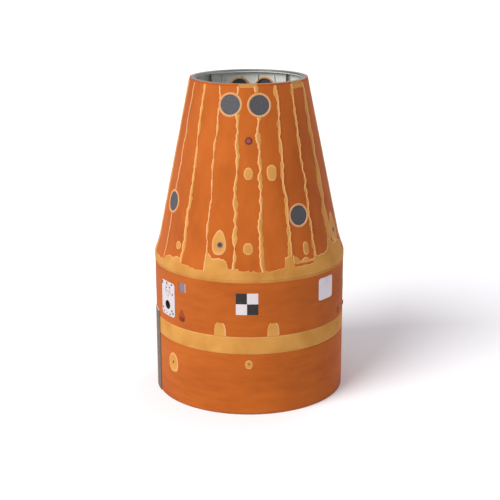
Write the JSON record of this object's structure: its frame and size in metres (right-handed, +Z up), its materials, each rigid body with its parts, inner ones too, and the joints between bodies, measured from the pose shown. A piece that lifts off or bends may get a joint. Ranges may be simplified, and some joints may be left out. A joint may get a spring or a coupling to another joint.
{
  "type": "launch vehicle core stage forward end",
  "caption": "Foam-covered top of a heavy-lift launch vehicle core stage: tank end, forward skirt and conical stage adapter with hatch, vents and separation ring.",
  "frame": {"origin": "centre of the base, on the plane where the tank barrel is cut", "axes": "+Z up the stage along its axis, -Y towards the front, +X to the right seen from the front"},
  "size_m": [8.5362, 8.5318, 14.07],
  "materials": {
    "sprayed_foam": "orange sprayed closed-cell foam, lightly rippled and matt",
    "closeout_foam": "yellow hand-sprayed and trimmed foam, matt",
    "seam_foam": "pale trimmed foam ridge, matt",
    "milled_aluminium": "milled and primed aluminium-lithium plate",
    "steel_fastener": "passivated steel",
    "valve_metal": "bead-blasted steel casting",
    "white_enamel": "white enamel, semi-matt",
    "black_paint": "black tracking-target paint, matt",
    "vent_enamel": "dark grey enamel on an aluminium cover",
    "tray_paint": "weathered brown-grey primer",
    "radome_grey": "grey radome laminate",
    "fairing_foam": "foam-capped fitting",
    "seal_rubber": "silicone seal",
    "connector_shell": "dark connector shells and caps",
    "cable_jacket": "braided and jacketed cable",
    "box_paint": "black-grey enclosure paint",
    "pusher_metal": "hard anodised cylinder",
    "rod_chrome": "ground and plated rod"
  },
  "bodies": {
    "stage": {"tank_base_ring": "milled_aluminium", "tank_barrel": "milled_aluminium", "tank_ring_frames": "milled_aluminium", "tank_y_ring": "milled_aluminium", "tank_dome": "milled_aluminium", "manhole_flange": "milled_aluminium", "manhole_cover": "milled_aluminium", "manhole_bolts": "steel_fastener", "relief_valve_body": "valve_metal", "relief_spring": "steel_fastener", "tank_foam": "sprayed_foam", "lower_closeout": "closeout_foam", "tank_foam_plugs": "closeout_foam", "cable_tray_cover": "tray_paint", "cable_tray_brackets": "milled_aluminium", "tray_cables": "cable_jacket", "tray_end_fitting": "white_enamel", "skirt_aft_ring": "milled_aluminium", "skirt_shell": "milled_aluminium", "skirt_stringers": "milled_aluminium", "skirt_ring_frames": "milled_aluminium", "skirt_forward_ring": "milled_aluminium", "flange_bolts": "steel_fastener", "skirt_foam": "sprayed_foam", "umbilical_plate": "white_enamel", "umbilical_port": "valve_metal", "flapper_pin": "steel_fastener", "fluid_couplings": "steel_fastener", "electrical_connectors": "connector_shell", "hatch_gasket": "seal_rubber", "antenna_pocket": "white_enamel", "antenna_panel": "radome_grey", "target_white_squares": "white_enamel", "target_black_squares": "black_paint", "skirt_fairings": "fairing_foam", "avionics_shelves": "milled_aluminium", "avionics_boxes": "box_paint", "harness_ring": "cable_jacket", "harness_clips": "milled_aluminium", "adapter_aft_ring": "milled_aluminium", "aft_cone": "milled_aluminium", "mid_ring": "milled_aluminium", "forward_cone": "milled_aluminium", "forward_ring": "milled_aluminium", "adapter_stringers": "milled_aluminium", "adapter_ring_frames": "milled_aluminium", "vent_frames": "closeout_foam", "vent_covers": "vent_enamel", "adapter_foam": "sprayed_foam", "seam_ridges": "seam_foam", "joint_closeout": "closeout_foam", "adapter_foam_plugs": "closeout_foam", "pusher_cylinders": "pusher_metal"},
    "separation_ring": {"separation_upper_ring": "milled_aluminium", "upper_closeout": "closeout_foam"},
    "pushers": {"pusher_rods": "rod_chrome"},
    "hatch": {"access_hatch": "white_enamel", "hatch_fasteners": "steel_fastener"},
    "flapper": {"port_flapper": "milled_aluminium"},
    "poppet": {"relief_poppet": "valve_metal"}
  },
  "joints": [
    {"name": "ring_lift", "type": "slide", "parent": "stage", "child": "separation_ring", "axis": [0, 0, 1], "range_m": [0, 0.3]},
    {"name": "pusher_extend", "type": "slide", "parent": "stage", "child": "pushers", "axis": [0, 0, 1], "range_m": [0, 0.3]},
    {"name": "hatch_removal", "type": "slide", "parent": "stage", "child": "hatch", "axis": [0.7815, -0.6239, 0], "range_m": [0, 0.4]},
    {"name": "flapper_swing", "type": "hinge", "parent": "stage", "child": "flapper", "pos_m": [-3.42397, -2.21507, 4.614], "axis": [0.5432, -0.8396, 0], "range_deg": [0, 75], "stiffness_Nm_per_rad": 2, "springref_deg": -40.11},
    {"name": "poppet_lift", "type": "slide", "parent": "stage", "child": "poppet", "axis": [0, 0, 1], "range_m": [0, 0.05], "stiffness_N_per_m": 3000, "springref_m": -0.02, "deforming": ["relief_spring"]}
  ],
  "couplings": [
    {"joint": "pusher_extend", "follows": "ring_lift", "ratio": 1}
  ]
}
